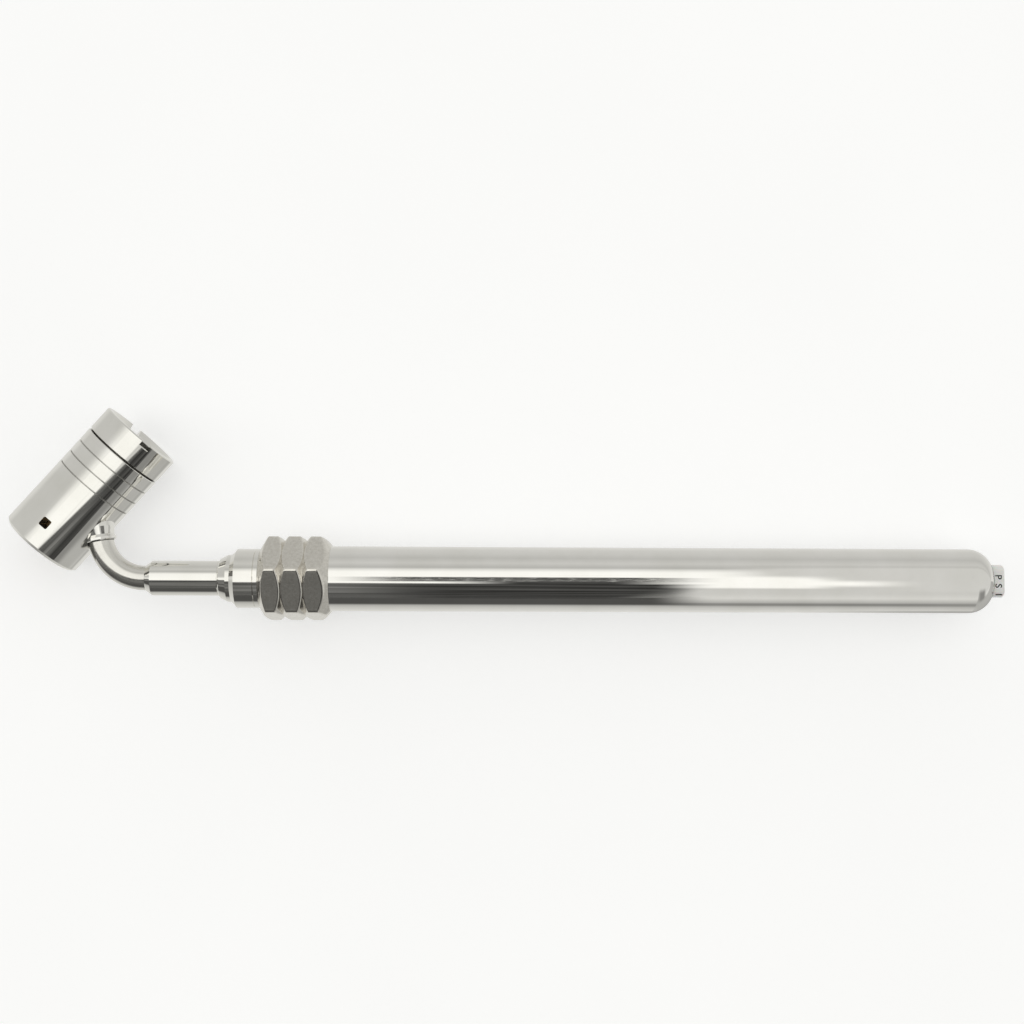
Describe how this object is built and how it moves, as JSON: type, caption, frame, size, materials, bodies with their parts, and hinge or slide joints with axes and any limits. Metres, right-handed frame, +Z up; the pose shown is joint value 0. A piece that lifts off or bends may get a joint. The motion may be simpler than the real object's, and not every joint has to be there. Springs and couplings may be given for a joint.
{
  "type": "tyre pressure gauge",
  "caption": "Pencil tyre pressure gauge: long polished barrel with a sliding square indicator bar, hexagonal grip, and a large-bore air chuck on a bent neck.",
  "frame": {"origin": "on the barrel axis, just outside the grip", "axes": "+X along the barrel towards the indicator end, +Y towards the side the neck bends to, +Z up, square to the plane of the bend"},
  "size_m": [0.2195, 0.047, 0.0208],
  "materials": {
    "polished_chrome": "mirror polished plating with fine wiping marks",
    "satin_chrome": "satin plating, softened over the bend",
    "grip_chrome": "plated with fine turning lines on the flats and bright edges",
    "barrel_chrome": "mirror polished plating drawn along its length",
    "steel": "bright drawn",
    "brass": "machined",
    "black_rubber": "matt moulded",
    "nylon": "smooth moulded",
    "white_plastic": "smooth moulded with black print"
  },
  "bodies": {
    "gauge": {"chuck_body": "polished_chrome", "retaining_ring": "polished_chrome", "valve_seal": "black_rubber", "seal_backing_washer": "brass", "core_depressor": "brass", "base_plug": "brass", "plug_o_ring": "black_rubber", "neck_tube": "satin_chrome", "neck_collar": "polished_chrome", "stem_sleeve": "polished_chrome", "shoulder_adapter": "polished_chrome", "joint_washer": "polished_chrome", "barrel_o_ring": "black_rubber", "filter_screen": "brass", "screen_clip": "steel", "hex_grip": "grip_chrome", "barrel": "barrel_chrome", "bar_guide": "nylon", "friction_ring": "black_rubber", "spring_washer": "steel", "main_spring": "steel"},
    "piston": {"piston": "brass", "piston_cup": "black_rubber", "cup_washer": "brass", "piston_screw": "steel"},
    "indicator": {"bar_foot": "brass", "indicator_bar": "white_plastic"}
  },
  "joints": [
    {"name": "piston_slide", "type": "slide", "parent": "gauge", "child": "piston", "axis": [1, 0, 0], "range_m": [0, 0.075], "stiffness_N_per_m": 1600, "deforming": ["main_spring"]},
    {"name": "indicator_slide", "type": "slide", "parent": "gauge", "child": "indicator", "axis": [1, 0, 0], "range_m": [0, 0.075]}
  ],
  "couplings": [
    {"joint": "indicator_slide", "follows": "piston_slide", "ratio": 1}
  ]
}
